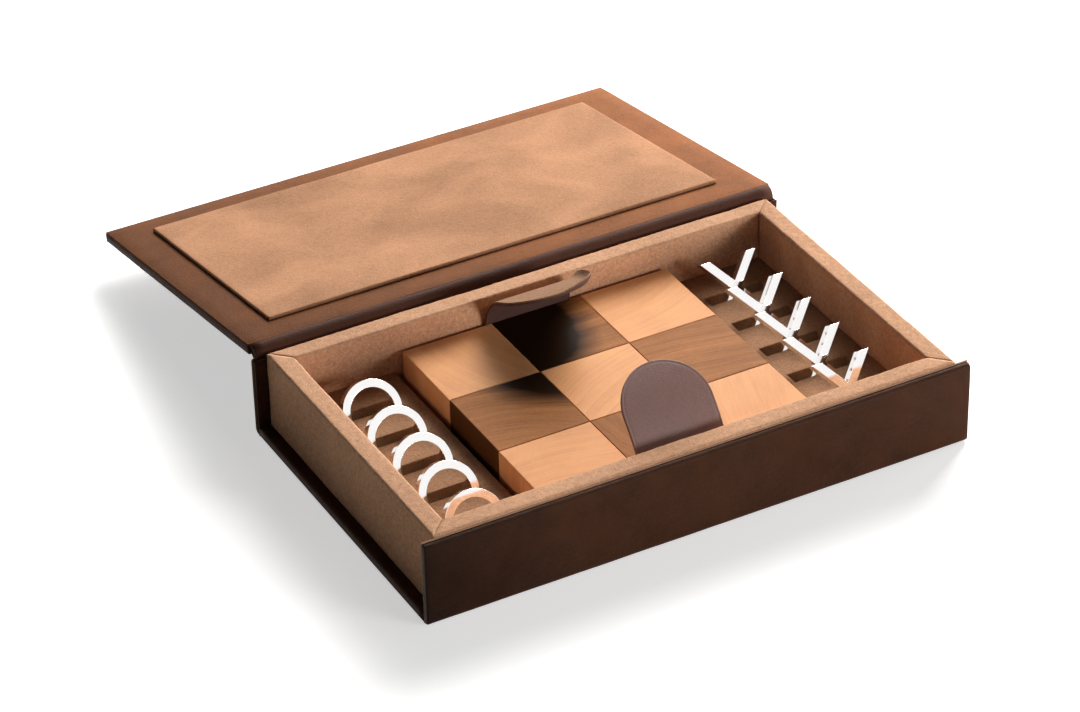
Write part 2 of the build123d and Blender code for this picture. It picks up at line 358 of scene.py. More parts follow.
def wood(name, colour, heart, spacing, contrast, roughness, gloss, dark=()):
    """Wood grain: uneven growth lines round a far heart, with short fibres along them.

    dark lists patches of painted shadow and painted shade darkened into the timber's colour: the X
    and Y of each one's middle, its two reaches and the share of the colour that is left in it.
    """
    material, tree, shader = finish(name, Roughness=roughness)
    shader.inputs["Specular IOR Level"].default_value = gloss
    far = math.hypot(*heart)
    where = place(tree, shift=(-heart[0], -heart[1], 0))
    parts = put(tree, "ShaderNodeSeparateXYZ", Vector=where)
    x, y, z = (parts.outputs[axis] for axis in "XYZ")
    squares = combine(tree, "ADD", combine(tree, "MULTIPLY", x, x), combine(tree, "MULTIPLY", y, y))
    radius = combine(tree, "SQRT", squares, 0.0)
    drift = cloud(tree, place(tree, (1, 1, 0.15)), 26, 2)
    radius = combine(tree, "ADD", radius, combine(tree, "MULTIPLY", drift, 5 * MM))
    arc = combine(tree, "MULTIPLY", combine(tree, "ARCTAN2", y, x), far)
    polar = put(tree, "ShaderNodeCombineXYZ", X=radius, Y=arc, Z=z).outputs["Vector"]
    lines = cloud(tree, stretch(tree, polar, (1, 0.025, 0.02)), 1 / spacing, 2, 0.65)
    fibre = cloud(tree, stretch(tree, polar, (1, 0.16, 0.05)), 2600, 2, 0.6)
    streak = cloud(tree, stretch(tree, polar, (1, 0.05, 0.04)), 160, 2, 0.5)
    patch = cloud(tree, place(tree, (1, 1, 0.3)), 34, 3, 0.5)
    minor = 0.7 * contrast
    grain = swing(tree, (lines, contrast), (fibre, minor), (streak, minor), (patch, 0.25))
    tone = tint(tree, grain, colour)
    # Painted shadow and shade: each patch darkens the timber's colour towards its middle, with a ragged edge
    for east, north, wide, deep, left in dark:
        oval = place(tree, (1 / wide, 1 / deep, 0), shift=(-east / wide, -north / deep, 0))
        away = put(tree, "ShaderNodeVectorMath", {"operation": "LENGTH"}, Vector=oval).outputs["Value"]
        ragged = combine(tree, "MULTIPLY", combine(tree, "SUBTRACT", streak, 0.5), 0.12)
        share = remap(tree, combine(tree, "ADD", away, ragged), 0.8, 1.15, 0.0, 1.0)
        tone = mixed(tree, share, shade(colour, left), tone)
    tree.links.new(tone, shader.inputs["Base Color"])
    rubbed = remap(tree, fibre, 0.3, 0.7, roughness + 0.05, roughness - 0.05)
    tree.links.new(rubbed, shader.inputs["Roughness"])
    bump(tree, shader, fibre, 0.12, 0.1 * MM)
    return material


def metal(name, colour):
    """Mirror-polished metal with faint wiping marks."""
    material, tree, shader = finish(name, Metallic=1.0, Roughness=0.08)
    marks = cloud(tree, place(tree, (1, 1, 4)), 320, 2)
    tone = ramp(tree, marks, (0.3, shade(colour, 0.97)), (0.7, colour))
    tree.links.new(tone, shader.inputs["Base Color"])
    tree.links.new(remap(tree, marks, 0.3, 0.8, 0.06, 0.1), shader.inputs["Roughness"])
    return material


def plain_board(name, colour):
    """Fibreboard or paperboard: speckled and matte."""
    material, tree, shader = finish(name, Roughness=0.9)
    shader.inputs["Specular IOR Level"].default_value = 0.1
    speck = cloud(tree, place(tree), 900, 3, 0.7)
    tone = ramp(tree, speck, (0.35, shade(colour, 0.8)), (0.65, shade(colour, 1.15)))
    tree.links.new(tone, shader.inputs["Base Color"])
    bump(tree, shader, speck, 0.2, 0.1 * MM)
    return material


# Meshes

def block(low, high):
    """A box between two corners, still open to edits."""
    mesh = bmesh.new()
    bmesh.ops.create_cube(mesh, size=1)
    for vertex in mesh.verts:
        vertex.co = Vector([(a + b) / 2 + share * (b - a) for a, b, share in zip(low, high, vertex.co)])
    return mesh


def closed_edit(name, mesh):
    """Mesh data of a mesh whose edits are done."""
    data = bpy.data.meshes.new(name)
    mesh.to_mesh(data)
    mesh.free()
    return data


def mesh_object(name, mesh, material):
    """Link a finished mesh as one smooth piece with one material."""
    obj = bpy.data.objects.new(name, mesh)
    bpy.context.scene.collection.objects.link(obj)
    mesh.materials.clear()
    mesh.materials.append(material)
    mesh.shade_smooth()
    return obj


def baked(obj):
    """Replace an object's modifiers by the mesh that they make."""
    bpy.context.view_layer.update()
    graph = bpy.context.evaluated_depsgraph_get()
    made = bpy.data.meshes.new_from_object(obj.evaluated_get(graph))
    obj.modifiers.clear()
    obj.data = made
    return obj


def settle(obj, body, slot, *nodes):
    """Ride a piece on its body, and let it stand for its CAD nodes."""
    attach(obj, body)
    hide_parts(*nodes)
    return obj


def dress(material, *nodes):
    """Give CAD nodes one finish."""
    for node in nodes:
        slots = frame["nodes"][node].data.materials
        slots.clear()
        slots.append(material)


def cut_grid(mesh, low, high, cell):
    """Cut a mesh by evenly spaced planes along X, Y and Z, about one cell apart."""
    for axis in range(3):
        count = max(1, round((high[axis] - low[axis]) / cell))
        for index in range(1, count):
            point = Vector((0, 0, 0))
            point[axis] = low[axis] + (high[axis] - low[axis]) * index / count
            normal = Vector((0, 0, 0))
            normal[axis] = 1
            bmesh.ops.bisect_plane(mesh, geom=mesh.verts[:] + mesh.edges[:] + mesh.faces[:],
                                   plane_co=point, plane_no=normal, dist=1e-7)


def ripple(obj, depth, spacing, seed, keep=None):
    """Move each point along its normal by soft noise; keep returns the share for one point."""
    mesh = obj.data
    moves = []
    for vertex in mesh.vertices:
        share = 1.0 if keep is None else keep(vertex.co)
        value = noise.noise(vertex.co / spacing + Vector((seed, 0, 0)))
        moves.append(vertex.normal * value * depth * share)
    for vertex, move in zip(mesh.vertices, moves):
        vertex.co += move
    return obj


def wrap_mesh(name, width, length, depth, radii, cell, tuck=0.0):
    """Five-sided cover, outer face at z 0, open at z depth, its foot tucked in.

    radii are those of the long edge at low y, of the one at high y, and of every other edge.
    """
    low = Vector((-width / 2, -length / 2, 0))
    high = Vector((width / 2, length / 2, depth))
    mesh = block(low, high)
    top = [face for face in mesh.faces if face.calc_center_median().z > depth - 1e-7]
    bmesh.ops.delete(mesh, geom=top, context="FACES_ONLY")
    for y, radius in ((low.y, radii[0]), (high.y, radii[1])):
        long = [edge for edge in mesh.edges if len(edge.link_faces) == 2
                and all(abs(vertex.co.z) < 1e-7 and abs(vertex.co.y - y) < 1e-7 for vertex in edge.verts)]
        bmesh.ops.bevel(mesh, geom=long, offset=radius, segments=8, profile=0.5, affect="EDGES")
    sharp = [edge for edge in mesh.edges
             if len(edge.link_faces) == 2 and edge.calc_face_angle() > math.radians(40)]
    bmesh.ops.bevel(mesh, geom=sharp, offset=radii[2], segments=5, profile=0.5, affect="EDGES")
    cut_grid(mesh, low, high, cell)
    for vertex in mesh.verts:
        share = max(0.0, vertex.co.z / depth - 0.5) * 2 * tuck
        vertex.co.x -= math.copysign(share, vertex.co.x) * (abs(vertex.co.x) > width / 2 - 1e-4)
        vertex.co.y -= math.copysign(share, vertex.co.y) * (abs(vertex.co.y) > length / 2 - 1e-4)
    bmesh.ops.recalc_face_normals(mesh, faces=mesh.faces)
    if sum(face.normal.z * face.calc_area() for face in mesh.faces) > 0:
        bmesh.ops.reverse_faces(mesh, faces=mesh.faces)
    return closed_edit(name, mesh)


def wrap(name, size, skin, radii, cell, matrix, material, waves, seed, tuck=0.0):
    """A rippled cover of one skin thickness, placed by a matrix; size is its width, length and depth."""
    obj = mesh_object(name, wrap_mesh(name, *size, radii, cell, tuck), material)
    ripple(obj, waves, 22 * MM, seed, lambda point: 0.0 if point.z > size[2] - 0.3 * MM else 1.0)
    solid = obj.modifiers.new("skin", "SOLIDIFY")
    solid.thickness = skin
    solid.offset = -1
    baked(obj)
    obj.data.transform(matrix)
    obj.data.shade_smooth()
    return obj


def loft(name, rows, material, closed=False):
    """Skin over rows of points, joined row to row."""
    mesh = bmesh.new()
    grid = [[mesh.verts.new(point) for point in row] for row in rows]
    for first, second in zip(grid, grid[1:]):
        count = len(first)
        for index in range(count if closed else count - 1):
            after = (index + 1) % count
            mesh.faces.new((first[index], first[after], second[after], second[index]))
    bmesh.ops.remove_doubles(mesh, verts=mesh.verts, dist=1e-6)
    bmesh.ops.recalc_face_normals(mesh, faces=mesh.faces)
    return mesh_object(name, closed_edit(name, mesh), material)


def rounded_line(corners, radius, steps=5):
    """Points of a line through corners, each inner corner rounded."""
    points = [Vector(corners[0])]
    for before, corner, after in zip(corners, corners[1:], corners[2:]):
        corner = Vector(corner)
        into = (Vector(before) - corner).normalized()
        out = (Vector(after) - corner).normalized()
        turn = into.angle(out)
        reach = radius / math.tan(turn / 2)
        centre = corner + (into + out).normalized() * (radius / math.sin(turn / 2))
        first = corner + into * reach - centre
        last = corner + out * reach - centre
        for step in range(steps + 1):
            share = step / steps
            spoke = first.normalized().slerp(last.normalized(), share)
            points.append(centre + spoke * radius)
    points.append(Vector(corners[-1]))
    return points


def spaced(points, cell):
    """The same line with its long runs divided into cells."""
    line = [points[0]]
    for before, after in zip(points, points[1:]):
        count = max(1, math.ceil((after - before).length / cell))
        line += [before.lerp(after, index / count) for index in range(1, count + 1)]
    return line


def spread(low, high, cell):
    """Evenly spaced values from low to high, about one cell apart."""
    count = max(1, round((high - low) / cell))
    return [low + (high - low) * index / count for index in range(count + 1)]


def thicken(obj, skin, offset=-1):
    """Give an open skin its thickness."""
    solid = obj.modifiers.new("skin", "SOLIDIFY")
    solid.thickness = skin
    solid.offset = offset
    baked(obj)
    obj.data.shade_smooth()
    return obj


def turned_plane(origin, across, up):
    """Matrix with its X along across, its Y along up, its origin at a point."""
    across, up = Vector(across).normalized(), Vector(up).normalized()
    facing = across.cross(up)
    matrix = Matrix((across, up, facing)).transposed().to_4x4()
    matrix.translation = origin
    return matrix


def closed_box(node):
    """Lowest and highest corner of a lid node, with the lid closed."""
    back = LID_OPENING.inverted()
    points = [back @ vertex.co for vertex in frame["nodes"][node].data.vertices]
    low = Vector([min(point[axis] for point in points) for axis in range(3)])
    high = Vector([max(point[axis] for point in points) for axis in range(3)])
    return low, high


# Pieces

def upright_cover(name, node, material, seed):
    """Leather over the front or the spine board, softly rounded along its top and its foot."""
    low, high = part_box(node)
    outward = -1 if low.y < 0 else 1
    face_y = low.y if outward < 0 else high.y
    middle = Vector((0, face_y, (low.z + high.z) / 2))
    matrix = turned_plane(middle, (1, 0, 0), (0, 0, outward))
    size = high - low
    foot, top = sizes().foot_radius, sizes().top_radius
    ends = (top, foot) if outward < 0 else (foot, top)
    obj = wrap(name, (size.x, size.z, size.y), sizes().leather_thickness, (*ends, sizes().leather_edge),
               4 * MM, matrix, material, 0.12 * MM, seed)
    return settle(obj, "case", "outer_leather", node)


def lining_sheet(name, node, material, body, matrix=None, grow=(0, 0, 0)):
    """Thin sheet glued over one board, with a soft cut edge.

    grow is how far its front face and its rear face move forward and its top moves up.
    """
    low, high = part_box(node) if matrix is None else closed_box(node)
    low, high = low.copy(), high.copy()
    low.y -= grow[0]
    high.y -= grow[1]
    high.z += grow[2]
    mesh = block(low, high)
    bmesh.ops.bevel(mesh, geom=mesh.edges[:], offset=0.2 * MM, segments=2, profile=0.5, affect="EDGES")
    cut_grid(mesh, low, high, 8 * MM)
    obj = mesh_object(name, closed_edit(name, mesh), material)
    if matrix is not None:
        obj.data.transform(matrix)
    return settle(obj, body, "lining_leather", node)


class CASE_OT_covers(bpy.types.Operator):
    """Build the leather and lining round the case's front, spine and bottom boards"""

    bl_idname = "case.covers"
    bl_label = "Covers"

    def execute(self, context):
        hide = leather("cover_leather", colours().outer_leather, 0.42, 0.03, creases=0.7, clouds=0.6)
        lining = leather("cover_lining", shade(colours().tray_suede, 0.8), 0.55, 0.02,
                         creases=0.1, clouds=0.3)
        # Painted shade: the front leather darkens towards its left end
        front = leather("front_cover_leather", shade(colours().outer_leather, 1.05), 0.4, 0.04,
                        creases=0.7, clouds=0.6, painted_shade_along_x=(-148 * MM, -60 * MM, 0.4, 1.0))
        upright_cover("front_cover", "front_leather", front, 3.0)
        upright_cover("spine_cover", "spine_leather", hide, 7.0)
        lining_sheet("front_cover_lining", "front_lining", lining, "case", grow=(-0.3 * MM, 0, 0.6 * MM))
        lining_sheet("spine_cover_lining", "spine_lining", hide, "case")
        self.bottom_cover(hide)
        dress(plain_board("greyboard", colours().greyboard),
              "bottom_board", "front_board", "spine_board", "lid_board", "pad_board")
        return {"FINISHED"}

    def bottom_cover(self, material):
        """Leather under the case, turned up and over its two side edges as far as the tray."""
        low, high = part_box("bottom_leather")
        tray_low, tray_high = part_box("left_wall_suede")[0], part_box("right_wall_suede")[1]
        skin = sizes().leather_thickness
        corners = ((tray_low.x, high.z), (low.x, high.z), (low.x, low.z),
                   (high.x, low.z), (high.x, high.z), (tray_high.x, high.z))
        flat = [Vector(corner) for corner in corners]
        section = spaced(rounded_line(flat, sizes().leather_edge), 6 * MM)
        rows = [[Vector((point.x, y, point.y)) for point in section] for y in spread(low.y, high.y, 6 * MM)]
        obj = loft("base_cover", rows, material)
        if sum(polygon.normal.z * polygon.area for polygon in obj.data.polygons) > 0:
            obj.data.flip_normals()
        thicken(obj, skin)
        settle(obj, "case", "outer_leather", "bottom_leather")


class CASE_OT_tray(bpy.types.Operator):
    """Build the tray's four suede-covered walls with mitred corners, and its floor"""

    bl_idname = "case.tray"
    bl_label = "Tray"

    def execute(self, context):
        material = suede("tray_suede", colours().tray_suede)
        outer_high, inner_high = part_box("right_wall_suede")[1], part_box("floor_suede")[1]
        for name, axis, side in (("front", 0, -1), ("rear", 0, 1), ("left", 1, -1), ("right", 1, 1)):
            across = 1 - axis
            piece = self.wall(name, axis, side, outer_high[across], inner_high[across], outer_high[axis],
                              material)
            ripple(piece, 0.12 * MM, 1.1 * MM, 5.0)
            ripple(piece, 0.25 * MM, 16 * MM, 9.0)
            settle(piece, "case", "tray_suede", f"{name}_wall_suede")
        floor = lining_sheet("tray_floor", "floor_suede", material, "case")
        dress(plain_board("fibreboard", colours().fibreboard),
              "front_wall", "rear_wall", "left_wall", "right_wall", "base_panel")
        return {"FINISHED"}

    def wall(self, name, axis, side, outer, inner, reach, material):
        """One sleeve: an upturned channel swept along an axis, between two 45 degree mitres."""
        low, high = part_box(f"{name}_wall_suede")
        corners = ((outer, low.z), (outer, high.z), (inner, high.z), (inner, low.z))
        rounded = rounded_line([Vector(corner) for corner in corners], sizes().rim_radius, 6)
        section = spaced(rounded, 1.6 * MM)
        rim = high.z - 0.5 * MM
        count = round(2 * reach / (1.5 * MM))
        mitre_gap = 0.06 * MM
        rows = []
        for index in range(count + 1):
            share = 2 * index / count - 1
            pinch = 0.25 * MM if index in (0, count) else 0
            row = []
            for point in section:
                run = share * (reach - (outer - point.x) - mitre_gap)
                depth = pinch if point.y > rim else 0
                spot = Vector((0, 0, point.y - depth))
                spot[axis] = run
                spot[1 - axis] = side * point.x
                row.append(spot)
            rows.append(row)
        obj = loft(f"{name}_wall_cover", rows, material)
        if sum(polygon.normal.z for polygon in obj.data.polygons if polygon.center.z > rim) < 0:
            obj.data.flip_normals()
        return thicken(obj, sizes().suede_thickness)


class CASE_OT_inserts(bpy.types.Operator):
    """Cover the two inserts in suede, with five leaning slots in each"""

    bl_idname = "case.inserts"
    bl_label = "Inserts"

    def execute(self, context):
        material = suede("insert_suede", colours().insert_suede)
        dress(plain_board("insert_board", colours().insert_board), "ring_insert", "cross_insert")
        for name in ("ring", "cross"):
            node = frame["nodes"][f"{name}_insert_suede"]
            piece = mesh_object(f"{name}_insert_cover", self.softened(node), material)
            settle(piece, "case", "tray_suede", f"{name}_insert_suede")
        return {"FINISHED"}

    def softened(self, node):
        """The slotted cover with its edges rounded."""
        mesh = bmesh.new()
        mesh.from_mesh(node.data)
        bmesh.ops.remove_doubles(mesh, verts=mesh.verts, dist=1e-6)
        bmesh.ops.dissolve_limit(mesh, angle_limit=math.radians(2), verts=mesh.verts, edges=mesh.edges)
        sharp = [edge for edge in mesh.edges
                 if edge.is_manifold and edge.calc_face_angle() > math.radians(30)]
        bmesh.ops.bevel(mesh, geom=sharp, offset=0.55 * MM, segments=3, profile=0.5, affect="EDGES",
                        clamp_overlap=True)
        return closed_edit(node.name, mesh)


class CASE_OT_lid(bpy.types.Operator):
    """Build the lid's leather, its lining and its suede pad"""

    bl_idname = "case.lid"
    bl_label = "Lid"

    def execute(self, context):
        hide = bpy.data.materials["cover_leather"]
        # Painted shade: the lid lining darkens towards its left side
        lining = leather("lid_lining", colours().lining_leather, 0.5, 0.01,
                         creases=0.5, clouds=0.6, painted_shade_along_x=(-150 * MM, 150 * MM, 0.45, 1.0))
        self.cover(hide)
        lining_sheet("lid_lining_sheet", "lid_lining", lining, "lid", LID_OPENING)
        self.pad(suede("pad_suede", colours().pad_suede, clouds=0.75, nap=0.4))
        return {"FINISHED"}

    def cover(self, material):
        """Outer leather over the lid's board and round its edges."""
        low, high = closed_box("lid_leather")
        size = high - low
        middle = Vector(((low.x + high.x) / 2, (low.y + high.y) / 2, high.z))
        matrix = LID_OPENING @ turned_plane(middle, (1, 0, 0), (0, -1, 0))
        edge = sizes().leather_edge
        obj = wrap("lid_cover", size, sizes().leather_thickness, (edge, edge, edge),
                   6 * MM, matrix, material, 0.12 * MM, 11.0)
        settle(obj, "lid", "outer_leather", "lid_leather")

    def pad(self, material):
        """Padded suede over the lid's inner board, its foot tucked in."""
        low, high = closed_box("pad_suede")
        size = high - low
        middle = Vector(((low.x + high.x) / 2, (low.y + high.y) / 2, low.z))
        matrix = LID_OPENING @ turned_plane(middle, (1, 0, 0), (0, 1, 0))
        edge = sizes().pad_radius
        obj = wrap("lid_pad", size, sizes().suede_thickness, (edge, edge, edge),
                   3 * MM, matrix, material, 0.15 * MM, 17.0, 0.6 * MM)
        settle(obj, "lid", "pad_suede", "pad_suede")


class CASE_OT_hinge(bpy.types.Operator):
    """Roll the lining and the outer leather from the spine over to the lid"""

    bl_idname = "case.hinge"
    bl_label = "Hinge"

    def execute(self, context):
        # Painted shade: a darker copy of the lid lining, darkening further towards the left end
        lining = leather("hinge_lining", colours().hinge_lining, 0.6, 0.04,
                         creases=0.4, clouds=0.5, bloom=0.1, painted_shade_along_x=(-150 * MM, 150 * MM, 0.85, 1.0))
        self.roll(lining)
        self.fold(bpy.data.materials["cover_leather"])
        return {"FINISHED"}

    def strip(self, name, section, skin, material, slot, node, start, end, more=()):
        """Sweep one section along the hinge and join more to it."""
        low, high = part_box(node)
        rows = [[Vector((x, point.x, point.y)) for point in section] for x in spread(low.x, high.x, 6 * MM)]
        obj = loft(name, rows, material)
        thicken(obj, skin, 1)
        ripple(obj, 0.15 * MM, 26 * MM, 23.0)
        if more:
            mesh = bmesh.new()
            for part in (obj, *more):
                mesh.from_mesh(part.data)
            mesh.to_mesh(obj.data)
            mesh.free()
            for part in more:
                bpy.data.objects.remove(part)
            obj.data.shade_smooth()
        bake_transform(obj)
        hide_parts(node)

    def lid_face(self):
        """Hinge edge of the open lid's inner face, the way along it and the way into the lid, in Y and Z."""
        low, high = closed_box("lid_lining")
        edge = LID_OPENING @ Vector((0, high.y, low.z))
        along = (LID_OPENING.to_3x3() @ Vector((0, -1, 0))).normalized()
        return Vector((edge.y, edge.z)), Vector((along.y, along.z)), Vector((along.z, -along.y))

    def crest(self, inset):
        """Round crest of the hinge in Y and Z, from the tray to the lid, an inset under its outer face."""
        low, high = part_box("hinge_lining")
        radius = high.z - low.z - 1.0 * MM
        centre = Vector((low.y + radius, high.z - radius))
        along = self.lid_face()[1]
        first, last = math.pi, math.atan2(along.x, -along.y)
        line = []
        for index in range(15):
            angle = first + (last - first) * index / 14
            line.append(centre + Vector((math.cos(angle), math.sin(angle))) * (radius - inset))
        return line

    def roll(self, material):
        """Lining: up behind the tray's rim, over a rounded crest and on to the lid's face."""
        low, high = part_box("hinge_lining")
        skin = sizes().lining_thickness
        edge, _, into = self.lid_face()
        path = [Vector((low.y + skin, low.z)), *self.crest(skin), edge + into * skin]
        self.strip("hinge_roll", spaced(path, 1 * MM), skin, material, "lining_leather", "hinge_lining",
                   (0, low.y, high.z - 1.5 * MM), (0, edge.x, edge.y))

    def fold(self, material):
        """Outer leather: a low arch from the spine's top to the lid's hinge edge, closed at both ends."""
        low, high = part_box("hinge_leather")
        outside = closed_box("lid_leather")[1]
        lid_low = LID_OPENING @ Vector((0, outside.y, outside.z))
        start = Vector((low.y + 0.5 * MM, low.z))
        end = Vector((lid_low.y, lid_low.z + 1.0 * MM))
        path = []
        for index in range(7):
            rise = 0.3 * MM * math.sin(math.pi * index / 6)
            path.append(start.lerp(end, index / 6) + Vector((0, rise)))
        ends = self.ends(material, (high.y, lid_low.y, lid_low.z))
        self.strip("hinge_fold", path, sizes().leather_thickness * 0.8, material, "outer_leather",
                   "hinge_leather", (0, low.y, low.z), (0, end.x, end.y), ends)

    def ends(self, material, outside):
        """Leather turned in over each end of the hinge, bulging a little outward."""
        low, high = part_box("hinge_lining")
        spine_y, lid_y, lid_z = outside
        edge, along, into = self.lid_face()
        dip, foot, overlap = 0.35 * MM, low.z - 1.5 * MM, 2 * MM
        inner = [Vector((low.y + dip, foot)), Vector((low.y + dip, low.z)), *self.crest(dip),
                 edge + along * overlap + into * dip]
        outer = [Vector((spine_y, foot)), Vector((spine_y, low.z + 0.6 * MM)),
                 Vector((lid_y, lid_z)), Vector((lid_y, lid_z)) + along * overlap]
        made = []
        for side in (-1, 1):
            rows = []
            for step in range(25):
                first, last = self.at(inner, step / 24), self.at(outer, step / 24)
                row = []
                for index in range(9):
                    share = index / 8
                    bulge = 0.5 * MM * (1 - (2 * share - 1) ** 4)
                    spot = first.lerp(last, share)
                    row.append(Vector((side * (high.x - 1.0 * MM + bulge), spot.x, spot.y)))
                rows.append(row)
            cap = loft(f"hinge_end_{side}", rows, material)
            if sum(polygon.normal.x * side for polygon in cap.data.polygons) < 0:
                cap.data.flip_normals()
            made.append(thicken(cap, 0.8 * MM))
        return made

    def at(self, line, share):
        """Point of a line at one share of its length."""
        lengths = [(after - before).length for before, after in zip(line, line[1:])]
        left = share * sum(lengths)
        for before, after, length in zip(line, line[1:], lengths):
            if left <= length:
                return before.lerp(after, left / length)
            left -= length
        return line[-1].copy()


class CASE_OT_board(bpy.types.Operator):
    """Give the nine blocks their maple and walnut"""

    bl_idname = "case.board"
    bl_label = "Playing board"

    def execute(self, context):
        # X and Y in metres of the far heart that each block's growth lines run round
        hearts = {"rear_left": (0.10, 0.09), "rear_right": (0.02, 0.16), "middle_centre": (0.05, -0.11),
                  "front_left": (-0.07, -0.19), "front_right": (0.19, -0.09), "rear_centre": (0.02, 0.17),
                  "middle_left": (-0.09, -0.10), "middle_right": (0.03, -0.14), "front_centre": (0.12, -0.02)}
        # Painted shadow of the rear tab on two walnut blocks, and painted shade on the middle left block's
        # left side
        painted_shade_patches = {"rear_centre": [(-18 * MM, 70 * MM, 36 * MM, 56 * MM, 0.05)],
                  "middle_left": [(-16 * MM, 40 * MM, 40 * MM, 46 * MM, 0.05),
                                  (-75 * MM, 0, 0.7 * MM, 60 * MM, 0.3)]}
        for spot, heart in hearts.items():
            if f"maple_{spot}" in frame["nodes"]:
                node = f"maple_{spot}"
                material = wood(node, colours().maple, heart, 1.5 * MM,
                                contrast=0.2, roughness=0.45, gloss=0.03)
            else:
                node = f"walnut_{spot}"
                material = wood(node, colours().walnut, heart, 1.1 * MM,
                                contrast=0.6, roughness=0.38, gloss=0.015, dark=painted_shade_patches.get(spot, ()))
            dress(material, node)
        return {"FINISHED"}


